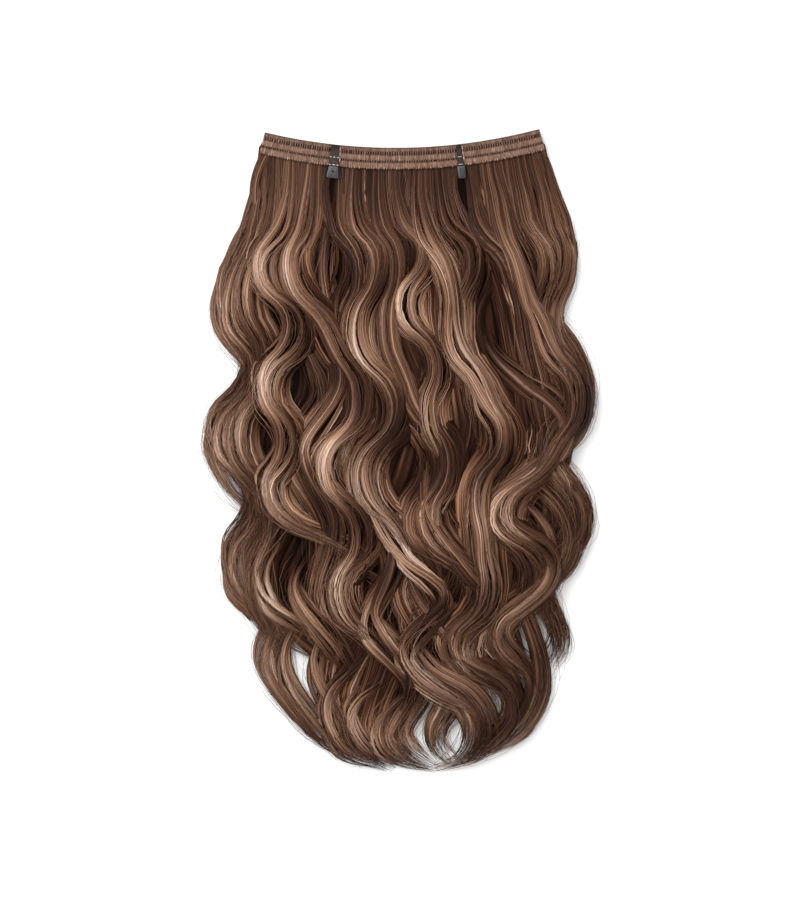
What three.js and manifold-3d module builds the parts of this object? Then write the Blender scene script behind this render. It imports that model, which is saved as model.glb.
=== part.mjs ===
// A wavy hair weft lying face up on a flat surface: three sewn tracks form a curved band,
// two tapes with a small end tab cross it, and the hair falls from under it in loose locks.
// Millimetres. +X runs along the band, +Y from the tips up to the band, +Z up off the surface.
import * as THREE from "three";
import { mergeVertices } from "three/addons/utils/BufferGeometryUtils.js";
import Module from "manifold-3d";

// Band: an arc whose centre lies far above it, so that its ends turn up
const ARC_CENTRE_X = -3.2;
const ARC_CENTRE_Y = 605;
const ARC_FROM = THREE.MathUtils.degToRad(-13.5);
const ARC_TO = THREE.MathUtils.degToRad(14.9);
const ARC_STEPS = 22;
const TRACK_CHAMFER = 0.6;

// Each sewn track: its radii on the arc, and the heights of its underside and top
const TRACKS = [
  { name: "track_upper", inner: 392.4, outer: 396.6, base: 5.0, top: 7.0 },
  { name: "track_middle", inner: 396.9, outer: 402.4, base: 5.0, top: 7.5 },
  { name: "track_lower", inner: 402.7, outer: 407.6, base: 5.0, top: 8.0 },
];

// Tapes across the band and the tabs at their lower ends, each with its widths at the top and the end
const STRAP_INNER = 392.9;
const STRAP_OUTER = 407.5;
const STRAP_BASE = 8.3;
const STRAP_THICKNESS = 0.9;
const TAB_GAP = 0.3;
const TAB_BASE = 7.6;
const TAB_THICKNESS = 1.4;
const CORNER = 1.0;
const CLIPS = [
  { side: "left", along: -45.0, strap: [5.8, 7.6], tab: [6.5, 8.6], tab_length: 8.4 },
  { side: "right", along: 41.0, strap: [3.6, 4.7], tab: [5.6, 5.0], tab_length: 8.9 },
];

// Hair: drops are measured down from the root line, heights up from the surface
const ROOT_RADIUS = 402;
const ROOT_Y = ARC_CENTRE_Y - ROOT_RADIUS;
const SHOULDER_DROP = 38;
const ROOT_HEIGHT = 4.7;
const RISE_FROM = 18;
const RISE_TO = 85;
const ROOT_WIDTH = 0.5;
const SPREAD_DROP = 60;
const TAPER_SHARE = 0.34;
const TIP_WIDTH = 0.3;
const TIP_HEIGHT = 0.35;
const UNDERCUT = 3;
const SIDE_LEAN = 0.75;
const STEPS_PER_SPAN = 4;
const DOME_SIDES = 5;

// The locks, one row each, from the left edge to the right, then those that start lower down.
// start: sideways place and drop of the upper end. shoulder: place where the waves begin.
// first, pitch: drop of the first swing, and from one swing to the next.
// swings: sideways place at each swing. tip: place and drop of the lower end.
// half: half the width. crest: height of the lock's back over the surface.
const LOCKS = [
  { start: [-92, 0], shoulder: -97, first: 101, pitch: 45.5, swings: [-120, -101, -126, -99, -115, -84],
    tip: [-50, 356], half: 10.5, crest: 14 },
  { start: [-84, 0], shoulder: -90, first: 91, pitch: 51, swings: [-110, -96, -116, -92, -104, -76],
    tip: [-66, 384], half: 10, crest: 17 },
  { start: [-74, 0], shoulder: -80, first: 78, pitch: 40, swings: [-99, -72, -96, -78, -91, -36],
    tip: [-8, 296], half: 11, crest: 24 },
  { start: [-58, 0], shoulder: -66, first: 78, pitch: 45.5, swings: [-78, -46, -26, -54, -25, -44, -6],
    tip: [28, 392], half: 12, crest: 21 },
  { start: [-36, 0], shoulder: -38, first: 72, pitch: 50, swings: [-22, -34, -4, -27, 2, 21, 4],
    tip: [26, 408], half: 13.5, crest: 24 },
  { start: [-14, 0], shoulder: -15, first: 72, pitch: 46, swings: [-4, -10, 6, 32, 20, 60, 41],
    tip: [73, 382], half: 12, crest: 20 },
  { start: [1, 0], shoulder: 4, first: 66, pitch: 37, swings: [20, 1, 26, 18, 31],
    tip: [46, 254], half: 11, crest: 22 },
  { start: [16, 0], shoulder: 13, first: 87, pitch: 36.5, swings: [34, 37, 57, 73, 56, 58, 62, 41, 72],
    tip: [58, 412], half: 12, crest: 25 },
  { start: [34, 0], shoulder: 37, first: 68, pitch: 42, swings: [50, 40, 50, 55],
    tip: [62, 216], half: 11, crest: 19 },
  { start: [53, 0], shoulder: 58, first: 80, pitch: 42, swings: [72, 73, 93, 100, 70, 92, 66],
    tip: [50, 372], half: 12, crest: 19 },
  { start: [70, 0], shoulder: 74, first: 84, pitch: 40.5, swings: [86, 103, 128, 108, 69, 102, 69],
    tip: [48, 348], half: 12, crest: 24 },
  { start: [86, 0], shoulder: 92, first: 74, pitch: 42, swings: [104, 98, 119, 110, 106],
    tip: [103, 282], half: 11, crest: 18 },
  { start: [97, 0], shoulder: 107, first: 66, pitch: 46, swings: [114, 104, 125, 105, 125, 98, 110],
    tip: [117, 357], half: 10.5, crest: 14 },
  { start: [-64, 96], first: 155, pitch: 52, swings: [-41, -67, -47, -58],
    tip: [-44, 345], half: 12, crest: 18 },
  { start: [-20, 236], first: 283, pitch: 40, swings: [-5, -20, 8], tip: [-8, 408], half: 11, crest: 17 },
  { start: [-84, 306], first: 351, pitch: 37, swings: [-91, -68], tip: [-42, 419], half: 10, crest: 9 },
  { start: [-80, 262], first: 292, pitch: 45, swings: [-92, -66, -64],
    tip: [-36, 419], half: 10, crest: 14 },
  { start: [-57, 266], first: 301, pitch: 45, swings: [-74, -42, -54],
    tip: [-18, 422], half: 10, crest: 15 },
  { start: [-35, 304], first: 354, pitch: 37, swings: [-23, -37], tip: [0, 424], half: 9.5, crest: 12 },
  { start: [-12, 320], first: 353, pitch: 37, swings: [0, -19], tip: [20, 426], half: 9.5, crest: 11 },
  { start: [10, 330], first: 357, pitch: 36, swings: [20, 2], tip: [34, 424], half: 9, crest: 11 },
  { start: [27, 344], first: 392, pitch: 36, swings: [50], tip: [29, 423], half: 8, crest: 10 },
  { start: [48, 330], first: 386, pitch: 36, swings: [67], tip: [40, 421], half: 9, crest: 12 },
  { start: [70, 312], first: 374, pitch: 36, swings: [83], tip: [53, 415], half: 9.5, crest: 13 },
  { start: [83, 304], first: 367, pitch: 36, swings: [91], tip: [62, 411], half: 10, crest: 12 },
];
const LEFT_EDGE = LOCKS[0];
const RIGHT_EDGE = LOCKS[12];

// Backing: the thin spread of hair behind the locks, from the band to a rounded hem
const BACK_COLUMNS = 9;
const BACK_ROWS = 24;
const BACK_INNER_RADIUS = 393;
const BACK_HEIGHT = 14;
const BACK_HEM_HEIGHT = 5;
const HEM_DROP_MIDDLE = 392;
const HEM_DROP_SIDE = 318;

// Room for the cut that trims the hair level with the surface
const TRIM_SIDE = 700;
const TRIM_DEPTH = 40;

// Middle of the finished weft, which becomes the origin
const MIDDLE_X = 1.8;
const MIDDLE_Y = 1.2;

const HAIR = { color: 0x5f4233, roughness: 0.45, metalness: 0 };
const STITCHED = { color: 0x81655a, roughness: 0.8, metalness: 0 };
const TAPE = { color: 0x483d37, roughness: 0.85, metalness: 0 };
const TAB = { color: 0x56585a, roughness: 0.4, metalness: 0.6 };

const wasm = await Module();
wasm.setup();

function arcPoint(radius, angle, height) {
  const x = ARC_CENTRE_X + radius * Math.sin(angle);
  const y = ARC_CENTRE_Y - radius * Math.cos(angle);
  return new THREE.Vector3(x, y, height);
}

function arcAngleAt(x, radius) {
  return Math.asin((x - ARC_CENTRE_X) / radius);
}

// A closed body through rings of an even number of points, counter-clockwise seen from the last ring.
// Each end is closed by a strip that joins the two halves of its ring.
function bodyFromRings(rings) {
  const sides = rings[0].length;
  const positions = rings.flat().flatMap((point) => point.toArray());
  const index = [];
  for (let ring = 0; ring + 1 < rings.length; ring += 1) {
    for (let side = 0; side < sides; side += 1) {
      const next = (side + 1) % sides;
      const a = ring * sides + side;
      const b = ring * sides + next;
      index.push(a, b, b + sides, a, b + sides, a + sides);
    }
  }
  const last = (rings.length - 1) * sides;
  for (let side = 0; side + 1 < sides / 2; side += 1) {
    const corners = [side, side + 1, sides - 2 - side, sides - 1 - side];
    const [a, b, c, d] = corners;
    const [e, f, g, h] = corners.map((corner) => corner + last);
    index.push(a, c, b, a, d, c);
    index.push(e, f, g, e, g, h);
  }
  const geometry = new THREE.BufferGeometry();
  geometry.setAttribute("position", new THREE.Float32BufferAttribute(positions, 3));
  geometry.setIndex(index);
  return geometry;
}

function solidFrom(geometry) {
  return new wasm.Manifold(new wasm.Mesh({
    numProp: 3,
    vertProperties: new Float32Array(geometry.getAttribute("position").array),
    triVerts: new Uint32Array(geometry.getIndex().array),
  }));
}

function geometryFrom(solid) {
  const mesh = solid.getMesh();
  const geometry = new THREE.BufferGeometry();
  geometry.setAttribute("position", new THREE.BufferAttribute(new Float32Array(mesh.vertProperties), 3));
  geometry.setIndex(new THREE.BufferAttribute(new Uint32Array(mesh.triVerts), 1));
  return geometry;
}

function named(name, geometry, look) {
  geometry.computeVertexNormals();
  const mesh = new THREE.Mesh(geometry, new THREE.MeshStandardMaterial(look));
  mesh.name = name;
  return mesh;
}

// One sewn track: a strip with chamfered edges swept along the arc.
function trackGeometry({ inner, outer, base, top }) {
  const section = [
    [inner, base + TRACK_CHAMFER], [inner, top - TRACK_CHAMFER],
    [inner + TRACK_CHAMFER, top], [outer - TRACK_CHAMFER, top],
    [outer, top - TRACK_CHAMFER], [outer, base + TRACK_CHAMFER],
    [outer - TRACK_CHAMFER, base], [inner + TRACK_CHAMFER, base],
  ];
  const rings = [];
  for (let step = 0; step <= ARC_STEPS; step += 1) {
    const angle = THREE.MathUtils.lerp(ARC_FROM, ARC_TO, step / ARC_STEPS);
    rings.push(section.map(([radius, height]) => arcPoint(radius, angle, height)));
  }
  return bodyFromRings(rings);
}

// A plate that runs down from y = 0, wider or narrower at its lower end, with rounded corners.
function plateGeometry(topWidth, endWidth, length, thickness) {
  const top = topWidth / 2;
  const end = endWidth / 2;
  const outline = new THREE.Shape();
  outline.moveTo(-top, 0);
  outline.lineTo(-end, -length + CORNER);
  outline.quadraticCurveTo(-end, -length, -end + CORNER, -length);
  outline.lineTo(end - CORNER, -length);
  outline.quadraticCurveTo(end, -length, end, -length + CORNER);
  outline.lineTo(top, 0);
  outline.closePath();
  return new THREE.ExtrudeGeometry(outline, { depth: thickness, bevelEnabled: false, curveSegments: 3 });
}

// A tape and its tab, in a group that stands on the arc and points down along its radius.
function clipGroup({ side, along, strap, tab, tab_length }) {
  const group = new THREE.Group();
  const angle = arcAngleAt(along, STRAP_INNER);
  group.position.copy(arcPoint(STRAP_INNER, angle, 0));
  group.rotation.z = angle;
  const strapLength = STRAP_OUTER - STRAP_INNER;
  const strapPlate = plateGeometry(...strap, strapLength, STRAP_THICKNESS);
  const strapMesh = named(`clip_strap_${side}`, strapPlate, TAPE);
  strapMesh.position.z = STRAP_BASE;
  const tabPlate = plateGeometry(...tab, tab_length, TAB_THICKNESS);
  const tabMesh = named(`clip_tab_${side}`, tabPlate, TAB);
  tabMesh.position.set(0, -strapLength - TAB_GAP, TAB_BASE);
  group.add(strapMesh, tabMesh);
  return group;
}

// The line that a lock follows, seen from above.
function lockCurve({ start, shoulder, first, pitch, swings, tip }) {
  const [startX, startDrop] = start;
  const rooted = startDrop === 0;
  const points = [];
  if (rooted) {
    points.push(arcPoint(ROOT_RADIUS, arcAngleAt(startX, ROOT_RADIUS), 0));
    points.push(new THREE.Vector3(shoulder, ROOT_Y - SHOULDER_DROP, 0));
  } else {
    points.push(new THREE.Vector3(startX, ROOT_Y - startDrop, 0));
  }
  swings.forEach((x, turn) => points.push(new THREE.Vector3(x, ROOT_Y - first - turn * pitch, 0)));
  points.push(new THREE.Vector3(tip[0], ROOT_Y - tip[1], 0));
  return new THREE.CatmullRomCurve3(points, false, "catmullrom", 0.5);
}

// Height of a hair form: low where it leaves the band, full once the waves have begun.
function risen(height, drop) {
  return THREE.MathUtils.lerp(ROOT_HEIGHT, height, THREE.MathUtils.smoothstep(drop, RISE_FROM, RISE_TO));
}

// One lock: domed sections along its curve, which reach below the surface until they are trimmed.
function lockGeometry(lock) {
  const curve = lockCurve(lock);
  const steps = (curve.points.length - 1) * STEPS_PER_SPAN;
  const rings = [];
  for (let step = 0; step <= steps; step += 1) {
    const share = step / steps;
    const centre = curve.getPoint(share);
    const tangent = curve.getTangent(share);
    const across = new THREE.Vector3(-tangent.y, tangent.x, 0);
    across.lerp(new THREE.Vector3(1, 0, 0), SIDE_LEAN).normalize();
    const taper = THREE.MathUtils.smoothstep(share, 1 - TAPER_SHARE, 1);
    const drop = ROOT_Y - centre.y;
    const spread = THREE.MathUtils.lerp(ROOT_WIDTH, 1, THREE.MathUtils.smoothstep(drop, 0, SPREAD_DROP));
    const half = lock.half * spread * THREE.MathUtils.lerp(1, TIP_WIDTH, taper);
    const crest = risen(lock.crest, drop) * THREE.MathUtils.lerp(1, TIP_HEIGHT, taper);
    const ring = [];
    for (let side = 0; side <= DOME_SIDES; side += 1) {
      const turn = Math.PI * side / DOME_SIDES;
      const height = -UNDERCUT + (crest + UNDERCUT) * Math.sin(turn);
      ring.push(centre.clone().addScaledVector(across, half * Math.cos(turn)).setZ(height));
    }
    rings.push(ring);
  }
  return bodyFromRings(rings);
}

// Sideways place of an edge lock's line at a given height on the page.
function edgeFinder(lock) {
  const line = lockCurve(lock).getPoints(120);
  return (y) => {
    const below = line.findIndex((point) => point.y <= y);
    if (below < 0) return line[line.length - 1].x;
    if (below === 0) return line[0].x;
    const upper = line[below - 1];
    const lower = line[below];
    return THREE.MathUtils.mapLinear(y, upper.y, lower.y, upper.x, lower.x);
  };
}

// The backing: rows across the fall from the band to the hem, each a low dome.
function backingGeometry() {
  const leftAt = edgeFinder(LEFT_EDGE);
  const rightAt = edgeFinder(RIGHT_EDGE);
  const rings = [];
  for (let row = -1; row <= BACK_ROWS; row += 1) {
    const share = Math.max(row, 0) / BACK_ROWS;
    const upper = [];
    for (let column = 0; column <= BACK_COLUMNS; column += 1) {
      const across = column / BACK_COLUMNS;
      const angle = THREE.MathUtils.lerp(ARC_FROM, ARC_TO, across);
      const spread = (2 * across - 1) ** 2;
      const hem = ROOT_Y - THREE.MathUtils.lerp(HEM_DROP_MIDDLE, HEM_DROP_SIDE, spread);
      const root = arcPoint(row < 0 ? BACK_INNER_RADIUS : ROOT_RADIUS, angle, ROOT_HEIGHT);
      if (row < 1) {
        upper.push(root);
        continue;
      }
      const y = THREE.MathUtils.lerp(root.y, hem, share);
      const x = THREE.MathUtils.lerp(leftAt(y), rightAt(y), across);
      const full = THREE.MathUtils.lerp(BACK_HEIGHT, BACK_HEM_HEIGHT, Math.max(share, spread));
      upper.push(new THREE.Vector3(x, y, risen(full, ROOT_Y - y)));
    }
    const under = upper.map((point) => point.clone().setZ(-UNDERCUT));
    rings.push([...upper.reverse(), ...under]);
  }
  return bodyFromRings(rings);
}

// All the hair in one body, trimmed level with the surface.
function hairGeometry() {
  let hair = solidFrom(backingGeometry());
  for (const lock of LOCKS) hair = hair.add(solidFrom(lockGeometry(lock)));
  const trim = new THREE.BoxGeometry(TRIM_SIDE, TRIM_SIDE, TRIM_DEPTH);
  trim.deleteAttribute("normal");
  trim.deleteAttribute("uv");
  trim.translate(0, 0, -TRIM_DEPTH / 2);
  return geometryFrom(hair.subtract(solidFrom(mergeVertices(trim))));
}

const weft = new THREE.Group();
weft.position.set(-MIDDLE_X, -MIDDLE_Y, 0);
weft.add(named("hair_fall", hairGeometry(), HAIR));
for (const track of TRACKS) weft.add(named(track.name, trackGeometry(track), STITCHED));
for (const clip of CLIPS) weft.add(clipGroup(clip));

export default weft;
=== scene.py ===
import math

import bpy
import numpy as np
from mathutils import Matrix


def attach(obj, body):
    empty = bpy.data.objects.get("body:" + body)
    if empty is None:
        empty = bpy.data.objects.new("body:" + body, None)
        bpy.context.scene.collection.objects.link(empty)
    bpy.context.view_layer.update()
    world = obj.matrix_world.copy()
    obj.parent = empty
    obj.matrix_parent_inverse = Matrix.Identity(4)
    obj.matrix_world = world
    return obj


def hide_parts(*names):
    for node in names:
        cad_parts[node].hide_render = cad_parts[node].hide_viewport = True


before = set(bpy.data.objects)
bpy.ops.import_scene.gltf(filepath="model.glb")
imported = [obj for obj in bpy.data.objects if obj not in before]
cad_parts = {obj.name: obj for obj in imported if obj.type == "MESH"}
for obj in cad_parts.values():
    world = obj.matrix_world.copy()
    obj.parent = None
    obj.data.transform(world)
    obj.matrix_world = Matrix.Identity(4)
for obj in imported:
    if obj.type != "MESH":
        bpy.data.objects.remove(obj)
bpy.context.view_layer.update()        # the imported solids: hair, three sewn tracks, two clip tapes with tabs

MM = 0.001
SEED = 7


def named(columns, *rows):
    """The rows of a table by the names of its columns. A short row leaves the last columns out."""
    return [dict(zip(columns, row)) for row in rows]


# The photograph's frame, the size of one of its pixels, and the height at which it has that size
FRAME_HIGH_PX = 900
MM_PER_PX = 0.7
SIZED_HEIGHT_MM = 10
FRAME_CENTRE_MM = (-1.8, -0.5)
LENS_MM = 150
SENSOR_MM = 36

# Band arc and middle of the weft, as in the solids, and the least height of any point, in millimetres
ARC_CENTRE = (-3.2, 605.0)
ARC_FROM = math.radians(-13.5)
ARC_TO = math.radians(14.9)
BAND_ENDS = (-98.4, 101.6)
BAND_WIDTH = BAND_ENDS[1] - BAND_ENDS[0]
MIDDLE = np.array([1.8, 1.2])
LOWEST = 0.03

# Sections of the sewn tracks, over the top from the upper edge: radius, height, share of the
# ribs' relief, tone. The tone holds painted light and shade: lighter on the tracks' tops, with painted shade
# in the grooves between them.
TRACKS = {
    "track_upper": (
        (392.6, 5.05, 0, 0.1), (392.4, 5.8, 0.3, 0.16), (392.6, 6.5, 0.6, 0.2), (393.1, 6.9, 0.8, 0.36),
        (393.9, 7.0, 1, 0.5), (394.9, 6.8, 1, 0.5), (395.5, 6.4, 0.5, 0.38), (395.8, 5.9, 0, 0.28),
        (396.6, 5.7, 0, 0.24), (396.65, 5.05, 0, 0.1)),
    "track_middle": (
        (396.85, 5.05, 0, 0.1), (396.9, 5.7, 0, 0.24), (397.4, 5.9, 0, 0.28), (397.7, 6.7, 0.5, 0.36),
        (398.3, 7.2, 1, 0.5), (399.4, 7.45, 1, 0.52), (400.6, 7.45, 1, 0.52), (401.6, 7.2, 1, 0.48),
        (402.1, 6.8, 0.5, 0.32), (402.35, 6.0, 0, 0.16), (402.45, 5.05, 0, 0.06)),
    "track_lower": (
        (402.65, 5.05, 0, 0.06), (402.7, 6.0, 0, 0.16), (402.85, 7.0, 0.5, 0.32), (403.4, 7.6, 1, 0.5),
        (404.5, 7.95, 1, 0.53), (405.7, 7.95, 1, 0.53), (406.7, 7.7, 1, 0.52), (407.3, 7.1, 0.8, 0.46),
        (407.6, 6.0, 0.4, 0.3), (407.5, 5.05, 0, 0.1)),
}

# Ribs across the tracks, in millimetres, and the painted light and shade on them, lighter on each rib and
# darker between
RIB_PITCH = 1.25
RIB_STEPS = 3
RIB_RELIEF = 0.16
RIB_PAINTED_LIGHT_AND_SHADE = 0.26

# Rows of stitches: (radius, height) of both ends and other sizes in millimetres, tones, share missing
STITCH_PITCH = 1.72
STITCHES = named(
    ("start", "end", "half", "arch", "tone", "tone_spread", "slant", "missing", "unevenness"),
    ((392.3, 6.0), (394.3, 7.0), 0.24, 0.15, 0.36, 0.08, 0.7, 0.0, 0.07),
    ((394.9, 6.8), (398.2, 7.1), 0.40, 0.10, 0.50, 0.07, 0.0, 0.03, 0.07),
    ((401.6, 7.15), (403.5, 7.5), 0.42, 0.12, 0.47, 0.07, 0.0, 0.02, 0.07),
    ((406.1, 7.8), (407.8, 6.7), 0.48, 0.12, 0.62, 0.09, 0.0, 0.05, 0.1),
)

# Points along a thread and around it
THREAD_STEPS = 5
THREAD_SIDES = 6

# Clips, as in the solids, in millimetres: place, widths of the tape and of the tab at the top and the
# end, length and tone of the tab, number of white stitches in a row across the tape
STRAP_RADII = (392.9, 407.5)
STRAP_HEIGHTS = (8.3, 9.2)
STRAP_STITCH_RADII = (401.4, 406.8)
TAB_GAP = 0.3
TAB_CORNER = 1.0
CLIPS = {
    "left": {"along": -45.0, "strap": (5.8, 7.6), "tab": (6.5, 8.6), "tab_length": 8.4, "tone": 0.27,
             "stitches": 3},
    "right": {"along": 41.0, "strap": (3.6, 4.7), "tab": (5.6, 5.0), "tab_length": 8.9, "tone": 0.22,
              "stitches": 1},
}

# Points along and across the face of a tape
TAPE_STEPS = 90
TAPE_CORDS = 15

# A tab from its underside up: height, inset from its outline, tone beside its own, which is painted shade on
# the underside and a painted highlight on the bevel
TAB_LEVELS = (
    (7.6, 0.25, -0.2), (7.8, 0.0, -0.1), (8.55, 0.0, 0.05), (8.85, 0.25, 0.2), (9.0, 0.7, 0.06),
    (9.0, 1.6, 0.0))

# The dash on the left tab, painted shade that stands in for its slot: radius of its place, sizes in
# millimetres
DASH = {"radius": 411.4, "half_length": 1.2, "slant": 0.2, "height": 8.85, "half": 0.45, "tone": 0.0}

# Sizes of locks, much as in the solids: millimetres, and shares of a lock's length, width and height
ROOT_RADIUS = 402.0
ROOT_Y = ARC_CENTRE[1] - ROOT_RADIUS
SHOULDER_DROP = 38.0
ROOT_HEIGHT = 4.4
RISE = (18.0, 85.0)
SPREAD_DROP = 60.0
TAPER_SHARE = 0.26
TIP_WIDTH = 0.26
TIP_HEIGHTS = (0.4, 0.18)
TIP_DROPS = (300.0, 400.0)
SIDE_LEAN = 0.75
CURVE_STEPS = 40
BEND_ROUNDNESS = 0.34
WAVE_WINDOW = 52.0
FULL_SWING = 11.0
FULL_SLOPE = 0.5
EMERGE = 30.0

# Locks that start under the band, much as in the solids: place of the root, of the shoulder, drop
# of the first swing and from swing to swing, places of the swings, lower end, half width, height, tone
ROOTED_LOCKS = named(
    ("root", "shoulder", "first", "pitch", "swings", "tip", "half", "crest", "tone"),
    (-95, -100, 101, 45.5, (-120, -101, -126, -99, -115, -84), (-48, 357), 10.5, 14, 0.58),
    (-87, -90, 91, 51, (-110, -96, -116, -92, -104, -86), (-79, 382), 10, 17, 0.49),
    (-76, -80, 78, 40, (-99, -72, -96, -78, -91, -36), (-6, 304), 11, 24, 0.62),
    (-62, -66, 78, 45.5, (-78, -46, -26, -54, -25, -44, -6), (28, 392), 12, 21, 0.52),
    (-46, -46, 72, 45, (-29, -38, -22, -40), (-30, 260), 10, 19, 0.45),
    (-31, -31, 72, 50, (-15, -29, -3, -26, 4), (25, 308), 12, 24, 0.58),
    (-16, -15, 72, 46, (-2, -9, 6, 32, 20, 60, 41), (73, 382), 12, 20, 0.46),
    (-2, 2, 66, 37, (20, 1, 26, 18, 31), (46, 254), 11, 22, 0.6),
    (12, 13, 87, 36.5, (34, 37, 57, 73, 56, 58, 62, 41, 72), (58, 412), 12, 25, 0.6),
    (27, 32, 68, 42, (50, 40, 50, 55), (62, 216), 11, 19, 0.45),
    (45, 51.5, 80, 42, (80, 89, 97, 101, 70, 92, 66), (50, 372), 12, 19, 0.5),
    (63, 71, 84, 40.5, (86, 101, 123, 106, 69, 101, 69), (48, 348), 12, 24, 0.52),
    (80, 89, 74, 42, (104, 98, 119, 101, 117), (94, 284), 11, 18, 0.46),
    (94, 107, 66, 46, (114, 104, 125, 105, 125, 98, 111), (106, 364), 10.5, 14, 0.53),
)

# Locks that come out from under the others: (place, drop) down their middles, half width, height, tone,
# then, for a few, share of the painted light on their waves and length over which they come out
LOWER_COLUMNS = ("path", "half", "crest", "tone", "shine", "emerge")
LOWER_LOCKS = named(
    LOWER_COLUMNS,
    (((-64, 96), (-41, 155), (-67, 207), (-47, 259), (-58, 311), (-44, 345)), 12, 17, 0.42),
    (((-82, 100), (-52, 160), (-76, 208), (-54, 256), (-62, 330)), 11, 13, 0.5),
    (((-20, 236), (-5, 283), (-20, 323), (8, 363), (-8, 408)), 11, 17, 0.42),
    (((-57, 266), (-73, 301), (-44, 342), (-28, 368)), 10, 15, 0.45),
    (((-64, 290), (-82, 318), (-93, 336), (-95, 352), (-89, 366), (-76, 383), (-58, 402), (-32, 421)),
     7, 9, 0.5),
    (((-56, 290), (-70, 318), (-81, 338), (-82, 354), (-76, 370), (-63, 388), (-48, 406), (-22, 426)),
     7, 10, 0.5),
    (((-38, 304), (-49, 326), (-57, 343), (-58, 358), (-52, 374), (-42, 391), (-30, 408), (-8, 427)),
     7, 10, 0.46),
    (((-8, 330), (-32, 354), (-47, 369), (-51, 383), (-47, 398), (-36, 413), (-8, 427)), 8, 12, 0.48),
    (((10, 344), (-9, 364), (-29, 379), (-35, 394), (-27, 411), (-4, 427)), 8, 11, 0.46),
    (((22, 346), (5, 371), (-11, 386), (-15, 400), (-5, 414), (15, 426)), 8, 11, 0.48),
    (((12, 310), (12, 360), (-4, 390), (-7, 405), (4, 419), (26, 427)), 8, 10, 0.46),
    (((22, 320), (18, 372), (4, 397), (6, 411), (28, 427)), 7, 9, 0.5),
    (((30, 330), (29, 376), (22, 395), (23, 410), (36, 424)), 5, 7, 0.48),
    (((44, 340), (41, 380), (31, 397), (29, 409), (39, 420)), 3.5, 6, 0.46),
    (((-18, 325), (10, 362), (33, 372), (47, 386), (49, 403), (40, 418), (20, 427)), 7, 13, 0.54),
    (((-6, 315), (20, 354), (48, 370), (61, 387), (61, 403), (49, 417), (26, 427)), 8.5, 12, 0.43, 0.7),
    (((-6, 264), (12, 304), (40, 344), (60, 357), (76, 371), (79, 387), (71, 402), (55, 415), (32, 425)),
     9, 14, 0.41, 0.5),
    (((44, 280), (62, 325), (79, 349), (88, 366), (86, 384), (76, 400), (46, 420)), 10, 12, 0.38),
    (((66, 270), (86, 320), (96, 345), (98, 365), (91, 384), (77, 400), (44, 421)), 9.5, 11, 0.44),
    (((86, 262), (104, 306), (113, 329), (114, 343), (107, 356)), 5.5, 9, 0.46),
    (((-64, 232), (-74, 244), (-87, 262), (-99, 287), (-92, 309), (-74, 323), (-52, 340)), 7, 16, 0.56),
    (((24, 190), (18, 228), (22, 254), (46, 284), (60, 302), (52, 317), (38, 331), (38, 343), (52, 354),
      (71, 364), (80, 379), (75, 396), (58, 414)), 8.5, 20, 0.46, 0.5),
    (((-34, 190), (-30, 220), (-15, 252), (4, 278), (20, 291), (29, 301), (29, 311), (21, 320), (10, 330),
      (4, 340), (6, 351), (15, 362), (30, 373), (47, 383), (56, 396), (52, 410), (36, 421)), 9, 19, 0.52),
    (((85, 212), (97, 225), (109, 237), (117, 251), (119, 267), (113, 284), (100, 300)),
     9, 17, 0.46, 0.6, 22),
    (((72, 226), (84, 238), (96, 250), (106, 264), (110, 278), (104, 294)), 10, 15, 0.43, 0.4, 24),
    (((54, 112), (68, 138), (86, 155), (102, 166), (112, 177), (115, 189), (110, 202), (96, 217), (77, 231),
      (68, 241), (69, 252), (80, 262), (96, 271), (105, 284), (100, 299), (86, 312), (74, 322), (70, 333),
      (74, 344), (86, 355), (93, 369), (89, 386), (73, 402)), 11, 22, 0.46, 0.45),
    (((-49, 8), (-50, 40), (-54, 74), (-51, 100), (-42, 126), (-52, 160)), 9, 12, 0.46),
)

# Locks that show between the others near the lower end, darkened with painted shade, with the same columns
BACKING_LOCKS = named(
    LOWER_COLUMNS,
    (((-96, 300), (-84, 318), (-70, 332), (-54, 345), (-36, 358)), 8, 8, 0.45, 0.6, 10),
    (((-38, 285), (-42, 325), (-48, 362), (-48, 378), (-40, 396), (-18, 420)), 8, 8, 0.42),
    (((-18, 290), (-20, 330), (-33, 358), (-38, 376), (-30, 398), (-6, 420)), 9, 7, 0.42),
    (((-28, 290), (-30, 335), (-46, 370), (-49, 388), (-38, 404), (-8, 420)), 11, 8, 0.42),
    (((-12, 295), (-12, 340), (-27, 380), (-30, 398), (-18, 413), (4, 424)), 10, 8, 0.42),
    (((2, 300), (-2, 345), (-13, 380), (-15, 400), (-2, 414), (18, 425)), 10, 8, 0.42),
    (((0, 236), (14, 270), (4, 302), (16, 334), (8, 362)), 13, 10, 0.42),
    (((30, 250), (38, 280), (30, 310), (44, 340), (40, 366)), 12, 10, 0.42),
)

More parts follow.
